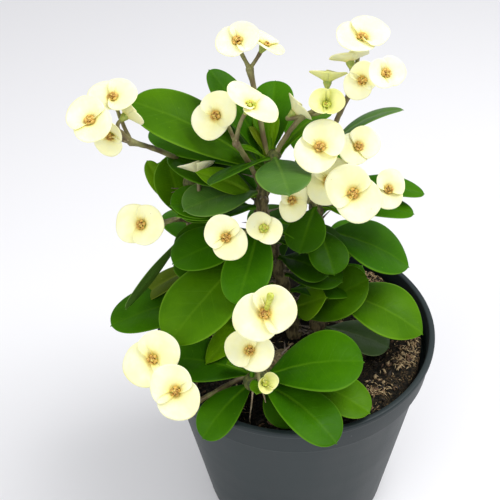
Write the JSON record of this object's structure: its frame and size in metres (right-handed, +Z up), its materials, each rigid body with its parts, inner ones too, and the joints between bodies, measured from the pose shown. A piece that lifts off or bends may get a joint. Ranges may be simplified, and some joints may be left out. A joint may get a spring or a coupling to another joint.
{
  "type": "potted euphorbia plant",
  "caption": "Small crown-of-thorns euphorbia with obovate green leaves and paired cream flower bracts on thorny canes, growing in a plain round tapering nursery pot with a wide rim band.",
  "frame": {"origin": "centre of the pot's base, on the surface it stands on", "axes": "+Z up along the pot's axis; -Y is the front, from which the tallest flower stalks stand behind the lower ones; +X is to the right seen from the front"},
  "size_m": [0.1405, 0.1321, 0.2408],
  "materials": {
    "pot_plastic": "dark slate-grey injection-moulded plastic, semi-matte, with faint vertical flow marks",
    "potting_soil": "dark peaty potting mix with tan fibres and pale grit, dry on top",
    "cane_bark": "grey-brown young bark, green-brown towards the tips, matte",
    "leaf": "dark to mid green semi-gloss leaf skin with a paler midrib and thin pale margin",
    "flower_bract": "soft cream bract skin, paler to the edge, with an ochre centre"
  },
  "bodies": {
    "root": {"pot": "pot_plastic", "soil": "potting_soil", "cane_centre": "cane_bark", "cane_left": "cane_bark", "cane_right": "cane_bark", "cane_front": "cane_bark", "leaf_upper_left": "leaf", "leaf_upper_left_lower": "leaf", "leaf_top_back_left": "leaf", "leaf_top_back": "leaf", "leaf_top_front": "leaf", "leaf_mid_front_left": "leaf", "leaf_front_hanging": "leaf", "leaf_big_front_left": "leaf", "leaf_left_rounded": "leaf", "leaf_left_dark": "leaf", "leaf_centre_right": "leaf", "leaf_inner_right": "leaf", "leaf_left_upright": "leaf", "leaf_far_left": "leaf", "leaf_left_edge_on": "leaf", "leaf_low_inner": "leaf", "leaf_right_bright": "leaf", "leaf_right_high": "leaf", "leaf_right_low": "leaf", "leaf_top_right": "leaf", "leaf_far_right": "leaf", "leaf_far_right_lower": "leaf", "leaf_right_inner": "leaf", "leaf_front_right_big": "leaf", "leaf_front_right_low": "leaf", "leaf_front": "leaf", "leaf_front_left": "leaf", "leaf_front_left_wide": "leaf", "leaf_back_left": "leaf", "leaf_back_right": "leaf", "head_left_outer": "flower_bract", "head_left_upper": "flower_bract", "head_left_lower": "flower_bract", "head_top_left": "flower_bract", "head_top_right": "flower_bract", "head_upper_left": "flower_bract", "head_upper_right": "flower_bract", "head_crown_young": "flower_bract", "head_crown_back": "flower_bract", "head_right_peak": "flower_bract", "head_right_high": "flower_bract", "head_right_side": "flower_bract", "head_cluster_left": "flower_bract", "head_cluster_back": "flower_bract", "head_cluster_front": "flower_bract", "head_cluster_right": "flower_bract", "head_far_left": "flower_bract", "head_middle_left": "flower_bract", "head_middle_young": "flower_bract", "head_middle_right": "flower_bract", "head_front_upper": "flower_bract", "head_front_lower": "flower_bract", "head_low_left_back": "flower_bract", "head_low_left_front": "flower_bract"}
  },
  "joints": []
}
